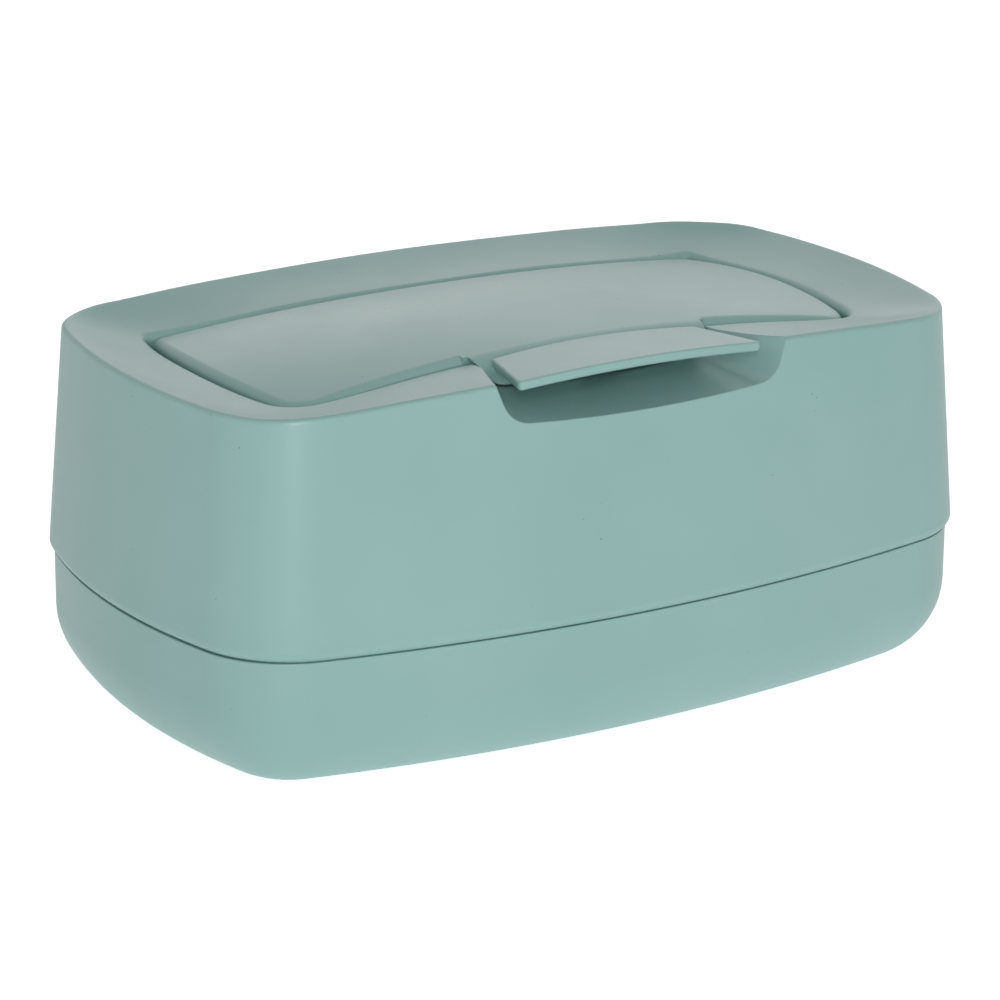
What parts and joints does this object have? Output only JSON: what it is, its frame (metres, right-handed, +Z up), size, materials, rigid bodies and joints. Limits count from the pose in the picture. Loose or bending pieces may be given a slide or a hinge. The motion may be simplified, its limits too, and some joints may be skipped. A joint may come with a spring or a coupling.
{
  "type": "baby wipes box",
  "caption": "Lidded storage box for folded baby wipes, with a crowned hinged lid, finger scoop, seal and inner weight plate",
  "frame": {"origin": "on the standing plane, under the middle of the box", "axes": "X along the length, -Y towards the front with the finger scoop, +Z up"},
  "size_m": [0.24, 0.1516, 0.1052],
  "materials": {
    "shell": "satin",
    "feet": "matte",
    "liner": "satin",
    "seal": "matte",
    "pins": "brushed",
    "bars": "brushed"
  },
  "bodies": {
    "base": {"base_tub": "shell", "foot_pads": "feet"},
    "housing": {"housing": "shell", "hinge_pin_left": "pins", "hinge_pin_right": "pins"},
    "lid": {"lid_panel": "shell", "lid_liner": "liner", "lid_seal": "seal"},
    "weight": {"weight_tray": "liner", "weight_cover": "liner", "weight_bar_front": "bars", "weight_bar_rear": "bars"}
  },
  "joints": [
    {"name": "housing_lift", "type": "slide", "parent": "base", "child": "housing", "axis": [0, 0, 1], "range_m": [0, 0.12]},
    {"name": "lid_hinge", "type": "hinge", "parent": "housing", "child": "lid", "pos_m": [0, 0.0305, 0.0902], "axis": [-1, 0, 0], "range_deg": [0, 88]},
    {"name": "weight_slide", "type": "slide", "parent": "base", "child": "weight", "axis": [0, 0, 1], "range_m": [0, 0.058]}
  ]
}
